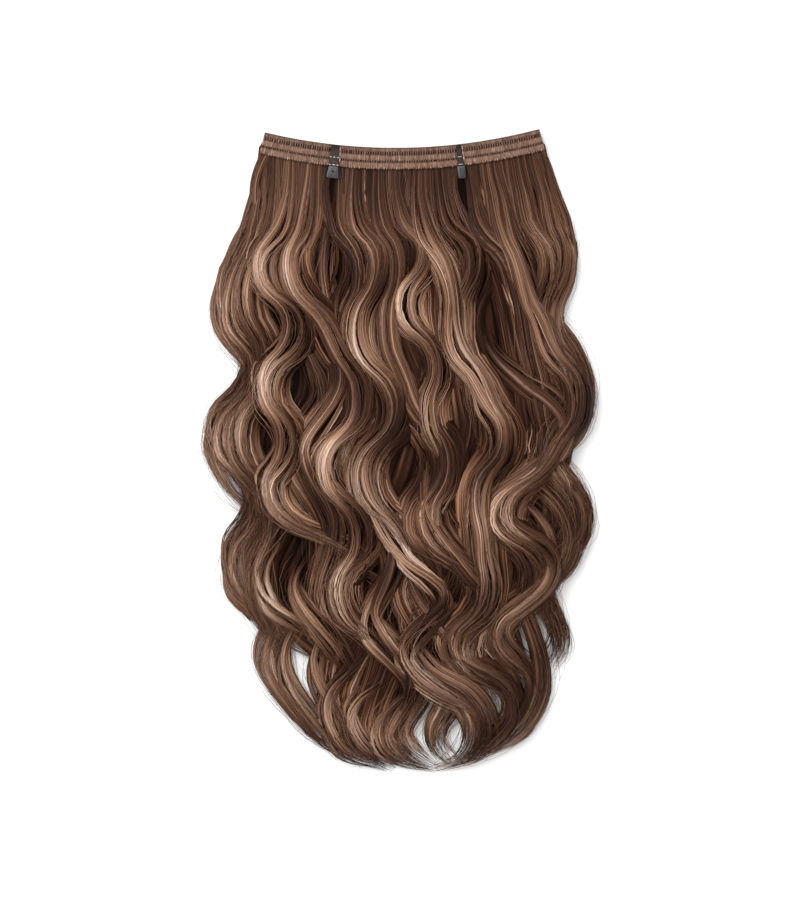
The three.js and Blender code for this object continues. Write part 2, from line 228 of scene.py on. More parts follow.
# Thin locks along both edges, with the same columns. They start thick, and their wisps gather little.
EDGE_HABIT = {"emerge": 2.0, "gather": 0.08}
EDGE_LOCKS = named(
    LOWER_COLUMNS,
    (((-90, -12), (-96, 0), (-99.5, 12), (-100, 24), (-99, 34), (-103, 45), (-109, 55), (-114.5, 68),
      (-124, 98), (-122, 118), (-108, 138), (-105, 149), (-113, 166), (-125, 178), (-129, 195), (-128, 207),
      (-117, 227), (-103, 244), (-110, 262), (-118, 286), (-112, 303), (-95, 317)), 7.5, 9, 0.58, 0.4),
    (((-100, 236), (-109, 262), (-118, 286), (-113, 302), (-96, 316), (-86, 327), (-92, 340), (-93, 352),
      (-86, 367), (-72, 383)), 7.5, 8, 0.56, 0.4),
    (((95, -13), (100.5, -2), (103.5, 9), (107.5, 24), (112, 38), (116, 62), (111, 90), (106, 109),
      (119, 128), (128, 150), (129, 167), (123, 188), (108, 208), (119, 226), (127, 246), (122, 268),
      (116, 284), (103, 299), (108, 318), (112, 334), (104, 356)), 7.5, 9, 0.54, 0.4),
    (((82, 172), (96, 192), (108, 212), (119, 228), (126, 246), (121, 268), (114, 284), (102, 298),
      (106, 318), (110, 336), (100, 356)), 7.5, 8, 0.54, 0.4),
)
RIGHT_EDGE_SHINE = 0.5

# Lower locks beside the rooted ones, apart from the last few at each edge: share of those locks' height
# and its limit, height at the root, and further swings where those locks end early
BESIDE_SHIFT = 8.5
BESIDE_CREST = (0.68, 14.0)
BESIDE_ROOT = 3.3
BESIDE_EDGE = 3
LAST_SWING = 372.0
FURTHER_SWINGS = (17, 22)

# Places on the band below which the hair parts, and how far it moves aside, in millimetres
PARTINGS = ((-46.5, 3.0), (42.0, 3.6), (1.5, 1.6))
PARTING_REACH = 6.0
PARTING_OPENS = (4, 14)
PARTING_CLOSES = (20, 42)

# Layers of wisps, which are ridged ribbons of hair: number on a lock, step along them in millimetres,
# turn to each side of the lock's dome in radians, and painted shade beside the lock's own tone, darkest for
# the layers that lie below
FRONT = {"wisps": 27, "step": 7.5, "fan": 1.18, "shade": -0.06}
LOWER = {"wisps": 20, "step": 5.5, "fan": 1.2, "shade": -0.04}
BESIDE = {"wisps": 9, "step": 10.0, "fan": 1.2, "shade": -0.24}
BACKING = {"wisps": 10, "step": 7.0, "fan": 1.2, "shade": -0.12}

# Wisps: shares of the room for them, of a lock's length and of their own half widths
WISP_FILL = 0.82
WISP_WIDTHS = (0.8, 1.2)
WISP_SHORTER = 0.2
WISP_CROWN = 0.14
WISP_RELIEF = 0.12
RIDGES = 3

# Clumps of wisps: lifts in millimetres, turns in radians, spreads by clump and by wisp
CLUMP_WISPS = 6.0
CLUMP_WALL_SHIFT = 1.4
CLUMP_LIFT = 1.3
WISP_LIFT = 0.5
CLUMP_GATHER = 0.3
WISP_MOST_TURN = 1.45
SWING_SPREADS = (0.08, 0.02)
SLIP_SPREADS = (3.2, 0.8)

# Tones of wisps: spreads by clump and by wisp, painted light on a lock's waves, and its painted shades
TONE_SPREADS = (0.06, 0.035)
CLUMP_EDGE_SHADE = 0.13
FLANK_SHADE = 0.2
OUTER_FLANK_SHADE = 0.04
WAVE_PAINTED_LIGHT = 0.255
SHINE_TURN = (0.3, 0.5)
ROOT_SHADES = (0.24, 0.14)
EMERGE_SHADE = 0.26
END_SHADE = 0.2
END_DROPS = (290.0, 350.0)
LEAST_TONE = 0.13

# How far from the root hair comes loose, in millimetres
LOOSENS = (10, 62)

# Single hairs: number on a lock, shares of its length between which they lie, radii and how far they
# stray, in millimetres
LOOSE = {"hairs": 19, "reach": (0.0, 1.0), "radius": (0.10, 0.18), "stray": 1.8}
ENDS = {"hairs": 12, "reach": (0.5, 1.0), "radius": (0.10, 0.19), "stray": 2.2}
STRAYS = {"hairs": 34, "reach": (0.1, 0.97), "radius": (0.08, 0.14), "stray": 6.0}
LOW_STRAYS = {**STRAYS, "hairs": 14}
HAIR_STEP = 9.0
HAIR_END = 0.4

# The hair below the locks, dark with painted shade, in millimetres. Its hem hangs lower in the middle than at
# the sides.
PAD_HEIGHT = 6.5
PAD_TOP_RADIUS = 393.4
PAD_HEM = (368.0, 302.0)
PAD_COLUMNS = 260
PAD_ROWS = 48
PAD_SIDE_SHARE = 1.04
PAD_GUIDE_DROP = 345.0
PAD_INSET = math.radians(0.2)
PAD_ROOT_HEIGHT = ROOT_HEIGHT - 0.9
PAD_RIDGE = 0.4
PAD_FOLD_TONE = 0.32

# Colours along each material's tones, from dark to light
WARM_HAIR = ("#110906", "#331d13", "#5f3f2c", "#8f684b", "#be9778", "#e6cfbb")
COOL_HAIR = ("#110a08", "#311f18", "#593f34", "#836558", "#ac9185", "#d8c5bb")
THREAD_COLOURS = ("#170e0a", "#3b2920", "#5d4539", "#7e6051", "#a88b7b", "#ece0d8")
TAPE_COLOURS = ("#0b0908", "#241b17", "#3d322c", "#5a4d45", "#9f958d", "#f1eeea")
TAB_COLOURS = ("#111112", "#2f3031", "#4a4c4d", "#696b6c", "#8f9091", "#c4c5c5")

# Materials: colours, scales of fine and broad streaks across and along the strands and how much they
# change the tone, range of roughness, depth of bumps in millimetres, shine, metal, cooler colours
LOOKS = named(
    ("name", "colours", "fine", "broad", "amounts", "roughness", "bump", "specular", "metallic", "cool"),
    ("hair", WARM_HAIR, (0.9, 0.02), (0.3, 0.012), (0.8, 0.3), (0.32, 0.46), 0.2, 0.05, 0, COOL_HAIR),
    ("hair_shade", WARM_HAIR, (0.9, 0.02), (0.3, 0.012), (0.7, 0.3), (0.5, 0.7), 0.2, 0.01, 0, COOL_HAIR),
    ("thread", THREAD_COLOURS, (1.6, 5.0), (0.2, 0.5), (0.4, 0.12), (0.55, 0.8), 0.12, 0.2, 0),
    ("tape", TAPE_COLOURS, (2.5, 2.5), (0.7, 0.5), (0.45, 0.3), (0.6, 0.85), 0.15, 0.2, 0),
    ("satin_grey", TAB_COLOURS, (1.2, 6.0), (0.5, 0.6), (0.25, 0.2), (0.3, 0.45), 0.03, 0.35, 0.15),
)

# Share of its room in the layout that a body takes up, and a length too small to matter
LAYOUT_SHARE = 0.9
TINY = 1e-9


def smoothstep(low, high, value):
    share = np.clip((value - low) / (high - low), 0.0, 1.0)
    return share * share * (3.0 - 2.0 * share)


def lerp(low, high, share):
    return low + (high - low) * share


def each(values):
    """One value for each body, ready to spread along its steps."""
    return np.asarray(values)[:, None]


def pairs(first, second):
    """Both values of each pair, spread over their shared shape, along a last axis."""
    return np.stack(np.broadcast_arrays(first, second), axis=-1)


def with_z(flat, z):
    """Points or directions in the plane, with one third coordinate for all or one for each."""
    return np.concatenate([flat, np.broadcast_to(z, flat.shape[:-1])[..., None]], axis=-1)


def unit(vectors, least=0.0):
    return vectors / (np.linalg.norm(vectors, axis=-1, keepdims=True) + least)


def arc_point(radius, angle):
    x = ARC_CENTRE[0] + radius * np.sin(angle)
    y = ARC_CENTRE[1] - radius * np.cos(angle)
    return pairs(x, y)


def arc_angle(x, radius):
    return np.arcsin((x - ARC_CENTRE[0]) / radius)


def linear(hex_colour):
    """An sRGB hex colour as linear RGBA."""
    parts = [int(hex_colour[i:i + 2], 16) / 255 for i in (1, 3, 5)]
    return [*(p / 12.92 if p <= 0.04045 else ((p + 0.055) / 1.055) ** 2.4 for p in parts), 1.0]


# Mesh makers

def swept(centres, across, half, profile, tall=None):
    """Rings of points: each row's profile, right to left over the top, carried along its centres."""
    tangent = unit(np.gradient(centres, axis=1), TINY)
    up = unit(np.cross(tangent, across), TINY)
    sideways, upward = profile[:, None, :, 0, None], profile[:, None, :, 1, None]
    wide = half[:, :, None, None]
    high = wide if tall is None else tall
    rings = centres[:, :, None] + across[:, :, None] * sideways * wide + up[:, :, None] * upward * high
    rings[..., 2] = np.maximum(rings[..., 2], LOWEST)
    return rings


def closed_bodies(rings, tone, strand):
    """Mesh arrays of one closed body for each row of rings, with a strip of faces at each end."""
    count, steps, sides = rings.shape[:3]
    index = np.arange(count * steps * sides).reshape(count, steps, sides)
    a, b = index[:, :-1], index[:, 1:]
    quads = np.stack([a, np.roll(a, -1, axis=2), np.roll(b, -1, axis=2), b], axis=-1).reshape(-1, 4)
    body, step, side = np.meshgrid(np.arange(count), np.arange(steps - 1), np.arange(sides), indexing="ij")
    left = (body + side * LAYOUT_SHARE / sides) / count
    right = (body + (side + 1) * LAYOUT_SHARE / sides) / count
    low, high = step / (steps - 1), (step + 1) / (steps - 1)
    corners = ((left, low), (right, low), (right, high), (left, high))
    layout = np.stack([pairs(*corner) for corner in corners], -2)
    caps, points = [np.zeros((0, 4), dtype=int)], [np.zeros((0, 3), dtype=int)]
    for first in range(sides // 2 - 1):
        strip = [first, first + 1, sides - 2 - first, sides - 1 - first]
        caps += [index[:, 0, strip[::-1]], index[:, -1, strip]]
    if sides % 2:
        tip = [sides // 2 - 1, sides // 2, sides // 2 + 1]
        points += [index[:, 0, tip[::-1]], index[:, -1, tip]]
    caps, points = np.concatenate(caps), np.concatenate(points)
    spare = np.zeros((4 * len(caps) + 3 * len(points), 2))
    return {
        "vertices": rings.reshape(-1, 3), "quads": np.concatenate([quads, caps]), "triangles": points,
        "tone": np.broadcast_to(tone, (count, steps, sides)).ravel(),
        "strand": np.broadcast_to(strand, (count, steps, sides, 2)).reshape(-1, 2),
        "layout": np.concatenate([layout.reshape(-1, 2), spare]),
    }


def joined(parts):
    """Several sets of mesh arrays as one, each with its own columns of the layout."""
    offset = 0
    share = 1 / len(parts)
    quads, triangles, quad_layout, triangle_layout = [], [], [], []
    for number, part in enumerate(parts):
        quads.append(part["quads"] + offset)
        triangles.append(part["triangles"] + offset)
        placed = part["layout"] * (share, 1) + (number * share, 0)
        quad_layout.append(placed[:4 * len(part["quads"])])
        triangle_layout.append(placed[4 * len(part["quads"]):])
        offset += len(part["vertices"])
    whole = {key: np.concatenate([part[key] for part in parts]) for key in ("vertices", "tone", "strand")}
    return {**whole, "quads": np.concatenate(quads), "triangles": np.concatenate(triangles),
            "layout": np.concatenate(quad_layout + triangle_layout)}


def add_object(name, data, place=(0, 0, 0)):
    item = bpy.data.objects.new(name, data)
    item.location = place
    bpy.context.scene.collection.objects.link(item)
    return item


def mesh_piece(name, parts, material, slot, *nodes):
    """A piece from sets of mesh arrays in millimetres, which stands for the named solids."""
    arrays = joined(parts)
    mesh = bpy.data.meshes.new(name)
    placed = arrays["vertices"].astype(np.float32)
    placed[:, :2] -= MIDDLE
    mesh.vertices.add(len(placed))
    mesh.vertices.foreach_set("co", (placed * MM).ravel())
    corners = np.concatenate([arrays["quads"].ravel(), arrays["triangles"].ravel()]).astype(np.int32)
    sizes = np.concatenate([np.full(len(arrays["quads"]), 4), np.full(len(arrays["triangles"]), 3)])
    mesh.loops.add(len(corners))
    mesh.loops.foreach_set("vertex_index", corners)
    mesh.polygons.add(len(sizes))
    mesh.polygons.foreach_set("loop_start", (np.cumsum(sizes) - sizes).astype(np.int32))
    mesh.polygons.foreach_set("use_smooth", np.ones(len(sizes), dtype=bool))
    mesh.update(calc_edges=True)
    shade = mesh.attributes.new("tone", "FLOAT", "POINT")
    shade.data.foreach_set("value", arrays["tone"].astype(np.float32))
    layers = {"OFBake": arrays["layout"], "strand": arrays["strand"][corners]}
    for layer, places in layers.items():
        mesh.uv_layers.new(name=layer).uv.foreach_set("vector", places.astype(np.float32).ravel())
    mesh.materials.append(material)
    piece = add_object(name, mesh)
    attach(piece, "root")
    if nodes:
        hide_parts(*nodes)


# Hair lines

def smooth_line(points, roundness):
    """A curve through points. With roundness it runs faster down its bends, which makes them rounder."""
    points = np.asarray(points, dtype=float)
    padded = np.vstack([2 * points[0] - points[1], points, 2 * points[-1] - points[-2]])
    even = np.linspace(0, 1, CURVE_STEPS, endpoint=False)
    t = pairs(even, even + roundness * np.sin(math.tau * even) / math.tau)
    spans = []
    for a, b, c, d in zip(padded, padded[1:], padded[2:], padded[3:]):
        bend = (2 * a - 5 * b + 4 * c - d) * t ** 2 + (3 * b - a - 3 * c + d) * t ** 3
        spans.append(0.5 * (2 * b + (c - a) * t + bend))
    return np.vstack([*spans, points[-1:]])


def with_room(locks):
    """Rooted locks, each with half of its room along the band, between its neighbours."""
    places = [lock["root"] for lock in locks]
    walls = [BAND_ENDS[0], *((a + b) / 2 for a, b in zip(places, places[1:])), BAND_ENDS[1]]
    return [{**lock, "room": (right - left) / 2} for lock, left, right in zip(locks, walls, walls[1:])]


def beside(lock, shift):
    """A lower lock alongside another, with further swings if that one ends early."""
    swings = list(lock["swings"])
    drop = lock["first"] + (len(swings) - 1) * lock["pitch"]
    place, tip_drop = lock["tip"]
    least, most = FURTHER_SWINGS
    while drop + lock["pitch"] < LAST_SWING:
        back = swings[-2] - swings[-1]
        swings.append(swings[-1] + math.copysign(min(most, max(least, abs(back))), back))
        drop += lock["pitch"]
        place = lerp(swings[-1], swings[-2], 0.5)
        tip_drop = drop + 0.6 * lock["pitch"]
    crest_share, most_crest = BESIDE_CREST
    return {**lock, "root": lock["root"] + 0.5 * shift, "shoulder": lock["shoulder"] + 0.7 * shift,
            "swings": tuple(swing + shift for swing in swings), "tip": (place + shift, tip_drop),
            "crest": min(lock["crest"] * crest_share, most_crest), "root_height": BESIDE_ROOT}


def lock_path(lock):
    """Points down the middle of a lock."""
    root = []
    course = lock.get("path")
    if course is None:
        root = [arc_point(ROOT_RADIUS, arc_angle(lock["root"], ROOT_RADIUS))]
        drops = lock["first"] + lock["pitch"] * np.arange(len(lock["swings"]))
        course = [(lock["shoulder"], SHOULDER_DROP), *zip(lock["swings"], drops), lock["tip"]]
    return root + [(place, ROOT_Y - drop) for place, drop in course]


def lock_line(lock):
    """A lock's middle line with its side direction, half width, height and lean at each point."""
    rooted = "path" not in lock
    line = smooth_line(lock_path(lock), BEND_ROUNDNESS if rooted else 0.0)
    steps = np.linalg.norm(np.diff(line, axis=0), axis=1)
    run = np.concatenate([[0.0], np.cumsum(steps)])
    tangent = unit(np.gradient(line, axis=0))
    side = pairs(-tangent[:, 1], tangent[:, 0])
    side = unit(lerp(side, np.array([1.0, 0.0]), SIDE_LEAN if rooted else 0.0))
    drop = ROOT_Y - line[:, 1]
    emerge = lock.get("emerge", EMERGE)
    taper = smoothstep(1 - TAPER_SHARE, 1, run / run[-1])
    narrow = lock["room"] if rooted else lock["half"] * 0.6
    half = lerp(narrow, lock["half"], smoothstep(0, SPREAD_DROP, drop - drop[0]))
    crest = lerp(lock.get("root_height", ROOT_HEIGHT), lock["crest"], smoothstep(*RISE, drop))
    if not rooted:
        crest = crest * lerp(0.45, 1, smoothstep(0, 2 * emerge, run))
    tip_height = lerp(*TIP_HEIGHTS, smoothstep(*TIP_DROPS, drop[-1]))
    near = np.abs(run[:, None] - run[None, :]) < WAVE_WINDOW
    axis = (near * line[None, :, 0]).sum(1) / near.sum(1)
    return {
        "run": run, "x": line[:, 0], "y": line[:, 1], "axis": axis, "rooted": rooted, "emerge": emerge,
        "side_x": side[:, 0], "side_y": side[:, 1], "slope": np.clip(tangent[:, 0] / FULL_SLOPE, -1, 1),
        "lean": np.clip((line[:, 0] - axis) / FULL_SWING, -1, 1),
        "half": half * lerp(1, TIP_WIDTH, taper), "crest": crest * lerp(1, tip_height, taper),
    }


# Hair

def ridged_profiles(count, rng):
    """Low crowns with a ridge for each strand, and which of their points are ridges."""
    ridge = np.arange(2 * RIDGES + 1) % 2
    widths = rng.uniform(0.5, 1.5, (count, 2 * RIDGES)) * np.where(ridge[:-1], 1.2, 0.8)
    places = np.cumsum(widths, axis=1) / widths.sum(axis=1, keepdims=True)
    places = 1 - 2 * np.concatenate([np.zeros((count, 1)), places], axis=1)
    relief = WISP_RELIEF * ridge * rng.uniform(0.6, 1.4, places.shape)
    return pairs(places, WISP_CROWN * (1 - places ** 2) + relief), ridge


def round_profile(sides):
    turns = math.pi / 2 + math.tau * np.arange(sides) / sides
    return pairs(np.cos(turns), np.sin(turns))[None]


def parted(root_x, drop):
    """How far hair from a place on the band moves aside where it parts, a little below the band."""
    depth = smoothstep(*PARTING_OPENS, drop) * (1 - smoothstep(*PARTING_CLOSES, drop))
    aside = np.zeros_like(drop)
    for place, width in PARTINGS:
        away = root_x - place
        aside += np.sign(away) * width * depth * np.exp(-(away / PARTING_REACH) ** 2)
    return aside


def on_lock(line, run, turn, place, swing, slip, lift):
    """Places on a lock's dome: even at the root, spread by turn lower down."""
    def at(name, shift=0.0):
        return np.interp(run + shift, line["run"], line[name])

    loose = smoothstep(*LOOSENS, run) if line["rooted"] else np.ones_like(run)
    late = slip * loose
    half, crest = at("half"), at("crest")
    offset = half * lerp(place, np.sin(turn), loose)
    side = pairs(at("side_x"), at("side_y"))
    x = at("axis") + (at("x", late) - at("axis", late)) * lerp(1, swing, loose) + offset * side[..., 0]
    y = at("y") + offset * side[..., 1]
    z = lerp(crest * 0.94, crest * np.cos(turn), loose) + lift * lerp(0.4, 1, loose)
    if line["rooted"]:
        x = x + parted(line["x"][0] + place * line["half"][0], ROOT_Y - y)
    tilt = np.arctan2(-crest * np.sin(turn), half * np.cos(turn)) * 0.85 * loose
    across = with_z(side * np.cos(tilt)[..., None], np.sin(tilt))
    room = lerp(half, np.hypot(half * np.cos(turn), crest * np.sin(turn)), loose)
    return {"centres": np.stack([x, y, z], axis=-1), "across": across, "room": room,
            "lean": at("lean"), "slope": at("slope"), "loose": loose}


def clumps_of(count, rng):
    """For each wisp of a lock, the number of its clump, and its place across it, from -1 to 1."""
    number = max(1, round(count / CLUMP_WISPS))
    walls = np.linspace(0, count, number + 1)
    walls[1:-1] += rng.uniform(-CLUMP_WALL_SHIFT, CLUMP_WALL_SHIFT, number - 1)
    place = np.arange(count) + 0.5
    clump = np.searchsorted(walls[1:-1], place)
    return clump, 2 * (place - walls[clump]) / np.diff(walls)[clump] - 1


def spread_by_clump(clump, spreads, rng):
    """A random value for each clump, with a little more for each of its wisps."""
    spread, own = spreads
    return each(rng.normal(0, spread, clump[-1] + 1)[clump] + rng.normal(0, own, len(clump)))


def drawn_by_clump(clump, bounds, rng):
    """A random value between bounds for each clump, the same for all its wisps."""
    return each(rng.uniform(*bounds, clump[-1] + 1)[clump])


def wisp_courses(lock, layer, line, rng):
    """Where the wisps of a lock lie: along it, across its dome and over each other, in clumps."""
    count = layer["wisps"]
    length = line["run"][-1]
    clump, across_clump = clumps_of(count, rng)
    begin = np.zeros(count) if line["rooted"] else line["emerge"] * rng.random(count)
    finish = length * (1 - WISP_SHORTER * rng.random(count) ** 1.5)
    even = np.linspace(0, 1, max(12, int(length / layer["step"])))
    run = lerp(each(begin), each(finish), even)
    turns = math.tau * run
    phase = drawn_by_clump(clump, (0, math.tau), rng)
    drift = drawn_by_clump(clump, (0.04, 0.14), rng)
    drift = drift * np.sin(turns / drawn_by_clump(clump, (80, 170), rng) + phase)
    gathered = 0.5 + 0.5 * np.sin(turns / drawn_by_clump(clump, (70, 120), rng) + phase)
    gather = lock.get("gather", CLUMP_GATHER) * gathered
    place = each(np.linspace(-1, 1, count))
    offset = each(across_clump * np.bincount(clump)[clump] / (count - 1))
    turn = (place - offset * gather) * layer["fan"] + drift + each(rng.normal(0, 0.025, count))
    turn = np.clip(turn, -WISP_MOST_TURN, WISP_MOST_TURN)
    swing = 1 + spread_by_clump(clump, SWING_SPREADS, rng)
    slip = spread_by_clump(clump, SLIP_SPREADS, rng)
    lift = each(rng.permutation(count) / count * WISP_LIFT + CLUMP_LIFT * (1 - across_clump ** 2))
    spot = on_lock(line, run, turn, place, swing, slip, lift)
    return {**spot, "even": even, "begin": each(begin), "run": run, "turn": turn, "clump": clump,
            "across_clump": across_clump}


def wisp_tones(lock, layer, line, course, ridge, rng):
    """Tones of a lock's wisps: painted light along its waves, painted shade near the band, at clump edges, on
    flanks and where others cover it.
    """
    run, turn = course["run"], course["turn"]
    drop = ROOT_Y - course["centres"][..., 1]
    tone = lock["tone"] + layer["shade"] + spread_by_clump(course["clump"], TONE_SPREADS, rng)
    # painted shade at the edges of clumps, where the wisps part
    tone = tone - each(CLUMP_EDGE_SHADE * course["across_clump"] ** 2)
    # painted shade on the flanks of the dome, less on a lock's outer flank at the weft's edges
    outer = turn * lock.get("outer", 0) > 0
    flank_shade = np.where(outer, OUTER_FLANK_SHADE, FLANK_SHADE)
    tone = tone - flank_shade * (1 - np.cos(turn)) * course["loose"]
    shine = rng.normal(*SHINE_TURN)
    # painted highlight along each lock's waves, and painted shade on the opposite bends
    lit = math.sin(shine) * course["slope"] - math.cos(shine) * course["lean"]
    tone = tone + WAVE_PAINTED_LIGHT * lock.get("shine", 1.0) * lit * smoothstep(30, 90, drop)
    # painted shade near the band, deepest in the middle
    root_shade = lerp(*ROOT_SHADES, smoothstep(20, 60, abs(line["x"][0])))
    from_root = run if line["rooted"] else drop
    tone = tone - root_shade * (1 - smoothstep(10, 70, from_root))
    # painted shade where a lock comes out from under others
    if not line["rooted"]:
        tone = tone - EMERGE_SHADE * (1 - smoothstep(0, 2 * line["emerge"], run))
    # painted shade at ends that dive under other hair, apart from ends at the hem
    covered = 1 - smoothstep(*END_DROPS, ROOT_Y - line["y"][-1])
    tone = tone - END_SHADE * covered * smoothstep(0.75, 1, run / line["run"][-1])
    strands = (len(run), 1, len(ridge))
    length = rng.uniform(12, 40, strands)
    waver = np.sin(run[..., None] / length + rng.uniform(0, math.tau, strands))
    # painted light on the strands' ridges and painted shade in the grooves between them; the rest differs at
    # random
    strand = rng.normal(0, 0.11, strands) + np.where(ridge, 0.05, -0.12) + 0.05 * waver
    return np.maximum(tone[..., None] + strand, LEAST_TONE)


def wisps_of(lock, layer, rng):
    """The ridged wisps of one lock, which lie over each other across its dome."""
    line = lock_line(lock)
    count = layer["wisps"]
    course = wisp_courses(lock, layer, line, rng)
    spacing = lerp(2 / count, 2 * layer["fan"] / (count - 1), course["loose"])
    thin = lerp(1, 0.08, smoothstep(0.6, 1, course["even"]))
    if not line["rooted"]:
        thin = thin * lerp(0.04, 1, smoothstep(0, line["emerge"], course["run"] - course["begin"]))
    half = WISP_FILL * spacing * course["room"] * each(rng.uniform(*WISP_WIDTHS, count)) * thin
    profile, ridge = ridged_profiles(count, rng)
    rings = swept(course["centres"], course["across"], half, profile)
    tone = wisp_tones(lock, layer, line, course, ridge, rng)
    u = profile[:, None, :, 0] * 3.0 + 11.0 * np.arange(count)[:, None, None]
    u = u + rng.uniform(0, 900)
    marks = pairs(u, course["run"][..., None])
    return closed_bodies(rings, tone, marks)


def hairs_of(lock, kind, rng):
    """Single hairs that lie loosely on one lock."""
    line = lock_line(lock)
    length = line["run"][-1]
    count = kind["hairs"]

    def drawn(low, high):
        return rng.uniform(low, high, (count, 1))

    low, high = kind["reach"]
    even = np.linspace(0, 1, max(8, int(length * (high - low) / HAIR_STEP)))
    begin = lerp(low, high, 0.5 * rng.random((count, 1)) ** 2)
    finish = lerp(high, low, 0.25 * rng.random((count, 1)) ** 2)
    run = lerp(begin, finish, even) * length
    turns = math.tau * run
    place = drawn(-1, 1)
    wander = drawn(0.05, 0.3) * np.sin(turns / drawn(60, 160) + drawn(0, math.tau))
    turn = np.clip(place * 1.3 + wander, -1.5, 1.5)
    swing = 1 + rng.normal(0, 0.14, (count, 1))
    lift = drawn(0.3, 1.0) * kind["stray"]
    spot = on_lock(line, run, turn, place, swing, drawn(-6, 6), lift)
    sway = drawn(-1, 1) * kind["stray"] * np.sin(turns / drawn(90, 220))
    centres = spot["centres"]
    centres[..., 0] += spot["loose"] * sway
    ends = smoothstep(0, 0.1, even) * lerp(1, HAIR_END, smoothstep(0.75, 1, even))
    half = drawn(*kind["radius"]) * lerp(HAIR_END, 1, ends)
    rings = swept(centres, spot["across"], half, round_profile(3))
    tone = lock["tone"] - 0.08 + rng.normal(0, 0.11, (count, 1))
    # painted light and shade along the waves, as on the wisps
    tone = np.clip(tone - 0.5 * WAVE_PAINTED_LIGHT * spot["lean"], 0.15, 0.75)
    marks = pairs(drawn(0, 900)[..., None], run[..., None])
    return closed_bodies(rings, tone[..., None], marks)


def pad_sheet(rooted):
    """Points of the hair below the locks, from above, right to left in rows: between the long locks' middle
    lines.
    """
    lines = [lock_line(lock) for lock in rooted if lock["tip"][1] > PAD_GUIDE_DROP]
    rows = np.linspace(0, 1, PAD_ROWS)
    guides = []
    for line in lines:
        hem = ROOT_Y - lerp(*PAD_HEM, (line["x"][0] / BAND_ENDS[1]) ** 2)
        y = lerp(line["y"][0], hem, rows)
        guides.append(pairs(np.interp(-y, -line["y"], line["x"]), y))

    def edge(number, side):
        line = lines[number]
        x, y = guides[number].T
        return pairs(x + side * PAD_SIDE_SHARE * np.interp(-y, -line["y"], line["half"]), y)

    guides = np.array([edge(0, -1), *guides, edge(-1, 1)])
    spread = np.linspace(len(guides) - 1, 0, PAD_COLUMNS)
    left = np.minimum(spread.astype(int), len(guides) - 2)
    sheet = np.moveaxis(lerp(guides[left], guides[left + 1], (spread - left)[:, None, None]), 0, 1)
    sheet[..., 0] = -np.sort(-sheet[..., 0], axis=1)
    angle = arc_angle(sheet[:1, :, 0], ROOT_RADIUS).clip(ARC_FROM + PAD_INSET, ARC_TO - PAD_INSET)
    share = np.concatenate([[0.0], rows])[:, None]
    return np.concatenate([arc_point(PAD_TOP_RADIUS, angle), sheet]), share


def pad_arrays(rooted, rng):
    """The hair below the locks, dark with painted shade: one ridged sheet that follows the long locks' waves.
    """
    sheet, share = pad_sheet(rooted)
    ridge = np.arange(PAD_COLUMNS) % 2
    sheet[..., 1] += rng.uniform(-14, 8, PAD_COLUMNS) * share ** 8
    drop = ROOT_Y - sheet[..., 1]
    full = PAD_HEIGHT * lerp(1, 0.14, smoothstep(0.5, 1, share))
    inner = 1 - np.abs(np.linspace(-1, 1, PAD_COLUMNS)) ** 10
    height = lerp(PAD_ROOT_HEIGHT, full, smoothstep(*RISE, drop)) * lerp(0.25, 1, inner)
    height = height + PAD_RIDGE * ridge * (share > 0) * rng.uniform(0.6, 1.3, PAD_COLUMNS)
    above = with_z(sheet, height)
    below = above[:, ::-1].copy()
    below[..., 2] = LOWEST
    rings = np.concatenate([above, below], axis=1)[None]
    # painted shade: dark all over, darker in the grooves between ridges and near the band
    tone = 0.1 + rng.normal(0, 0.07, PAD_COLUMNS) - np.where(ridge, 0, 0.08)
    near_root = 1 - smoothstep(22, 50, drop)
    tone = np.where(share == 0, tone + PAD_FOLD_TONE, tone - 0.2 * near_root)
    tone = np.concatenate([tone, tone[:, ::-1]], axis=1)
    across = np.arange(PAD_COLUMNS)
    u = np.concatenate([across, across[::-1]])
    marks = pairs(u, share * PAD_HEM[0])[None]
    return closed_bodies(rings, tone[None], marks)


# Band

def track_arrays(section, rng):
    """A sewn track: its section along the arc, ribbed by the threads that cross it."""
    radius, height, relief, tone = np.array(section).T
    ribs = int(BAND_WIDTH / RIB_PITCH)
    steps = ribs * RIB_STEPS + 1
    angle = np.linspace(ARC_FROM, ARC_TO, steps)[:, None]
    rib = np.sin(math.pi * np.arange(steps) / RIB_STEPS)[:, None] ** 2
    own = np.repeat(rng.normal(0, 1, ribs + 1), RIB_STEPS)[:steps, None]
    wobble = np.repeat(rng.normal(0, 1, (ribs + 1, len(radius))), RIB_STEPS, axis=0)[:steps]
    flat = arc_point(radius + 0.05 * wobble * relief, angle)
    rings = with_z(flat, height + RIB_RELIEF * relief * (rib - 1 + 0.3 * own))[None]
    uneven = 0.06 * own + 0.04 * wobble
    # painted light on the ribs and painted shade between them, with some tone that differs at random
    shade = tone + relief * (RIB_PAINTED_LIGHT_AND_SHADE * (rib - 0.6) + uneven)
    along = np.arange(steps)[:, None] * RIB_PITCH / RIB_STEPS
    marks = pairs(along, radius)[None]
    return closed_bodies(rings, shade[None], marks)


